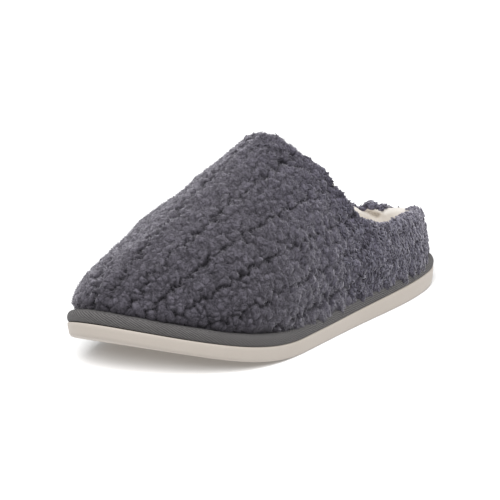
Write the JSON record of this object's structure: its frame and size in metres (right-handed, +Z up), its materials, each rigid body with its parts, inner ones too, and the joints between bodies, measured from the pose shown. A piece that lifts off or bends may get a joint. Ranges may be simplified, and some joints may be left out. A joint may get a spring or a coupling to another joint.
{
  "type": "mule slipper",
  "caption": "Closed-toe backless house mule for the left foot: hollow plush upper with a low heel rim, fleece footbed, taped edge and a flat rubber sole with toe spring.",
  "frame": {"origin": "on the floor, under the middle of the shoe's bounding box", "axes": "+Z up, toe towards -Y and heel towards +Y, +X to the outer side of the left foot"},
  "size_m": [0.0968, 0.28, 0.0952],
  "materials": {
    "sole_rubber": "off-white moulded sole, matte with a faint sheen",
    "binding_tape": "grey herringbone tape folded over the sole's upper edge",
    "fleece": "cream fleece, short curly pile",
    "plush": "mid-grey tufted plush in rows along the foot"
  },
  "bodies": {
    "root": {"outsole": "sole_rubber", "edge_binding": "binding_tape", "insole": "fleece", "upper": "plush"}
  },
  "joints": []
}
